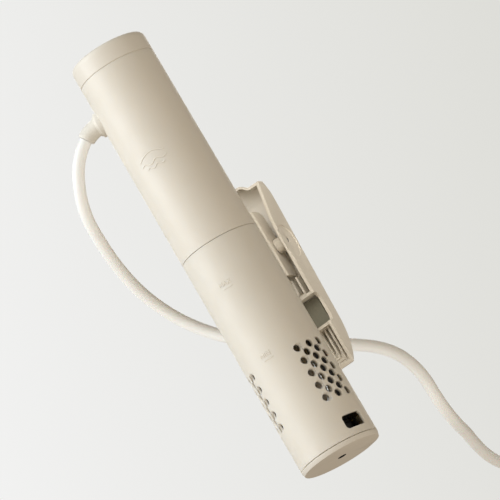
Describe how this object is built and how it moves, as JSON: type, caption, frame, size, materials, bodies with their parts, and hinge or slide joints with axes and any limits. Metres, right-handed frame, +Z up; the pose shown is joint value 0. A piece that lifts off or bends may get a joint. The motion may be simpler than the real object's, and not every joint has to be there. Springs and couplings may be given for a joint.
{
  "type": "sous vide circulator",
  "caption": "Slim round sous vide circulator with a lift-off lower sleeve, water inlet holes, a side outlet, a sprung pot clip and a mains cord.",
  "frame": {"origin": "on the tube's axis, on the flat bottom face that the object stands on", "axes": "+Z up along the tube's axis; -Y towards the front with the moulded level marks; +Y towards the pot clip; +X to the right seen from the front"},
  "size_m": [0.174, 0.5153, 0.32],
  "materials": {
    "shell": "fine matt cream",
    "cap_plastic": "fine matt cream",
    "seal_rubber": "soft black",
    "panel_glass": "smoked gloss",
    "diffuser": "milky white",
    "board": "solder mask",
    "chips": "black epoxy",
    "power_components": "component sleeves",
    "frame_plastic": "moulded grey",
    "wire": "insulation",
    "motor_steel": "drawn can",
    "screw_steel": "zinc",
    "wet_plastic": "glass-filled grey",
    "bronze": "sintered bronze",
    "stainless": "polished stainless steel",
    "coupling_alloy": "turned",
    "impeller_plastic": "moulded black",
    "clip_plastic": "fine matt cream",
    "pad_rubber": "soft grey-green",
    "spring_steel": "spring steel",
    "relief_rubber": "soft cream",
    "cord_jacket": "satin warm white",
    "plug_plastic": "satin warm white",
    "pin_brass": "plated brass"
  },
  "bodies": {
    "sleeve": {"sleeve": "shell", "bottom_cap": "cap_plastic", "bottom_seal": "seal_rubber", "mains_cord": "cord_jacket", "cord_coil": "cord_jacket", "cord_tail": "cord_jacket", "mains_plug": "plug_plastic", "plug_boot": "plug_plastic", "plug_pins": "pin_brass"},
    "head": {"upper_housing": "shell", "top_cap": "cap_plastic", "touch_panel": "panel_glass", "light_ring": "diffuser", "display_board": "board", "display_chips": "chips", "inner_frame": "frame_plastic", "power_board": "board", "power_parts": "power_components", "wire_harness": "wire", "motor": "motor_steel", "motor_mount": "frame_plastic", "mount_screws": "screw_steel", "motor_screws": "screw_steel", "bulkhead": "wet_plastic", "bulkhead_oring": "seal_rubber", "upper_bush": "bronze", "shaft_seal": "seal_rubber", "heating_element": "stainless", "temperature_probe": "stainless", "level_pins": "stainless", "shaft_carrier": "wet_plastic", "lower_bush": "bronze", "clip_bracket": "clip_plastic", "bracket_screws": "screw_steel", "hinge_pin": "stainless", "clip_spring": "spring_steel", "strain_relief": "relief_rubber", "relief_nut": "frame_plastic"},
    "impeller": {"drive_shaft": "stainless", "motor_shaft": "stainless", "shaft_coupling": "coupling_alloy", "impeller": "impeller_plastic", "impeller_nut": "stainless"},
    "clip": {"clip_lever": "clip_plastic", "grip_pad": "pad_rubber"}
  },
  "joints": [
    {"name": "head_lift", "type": "slide", "parent": "sleeve", "child": "head", "axis": [0, 0, 1], "range_m": [0, 0.15]},
    {"name": "impeller_spin", "type": "hinge", "parent": "head", "child": "impeller", "pos_m": [0, 0, 0.1], "axis": [0, 0, 1], "continuous": true},
    {"name": "clip_open", "type": "hinge", "parent": "head", "child": "clip", "pos_m": [0, 0.043, 0.152], "axis": [1, 0, 0], "range_deg": [0, 12], "stiffness_Nm_per_rad": 1.2, "springref_deg": -28.65}
  ]
}
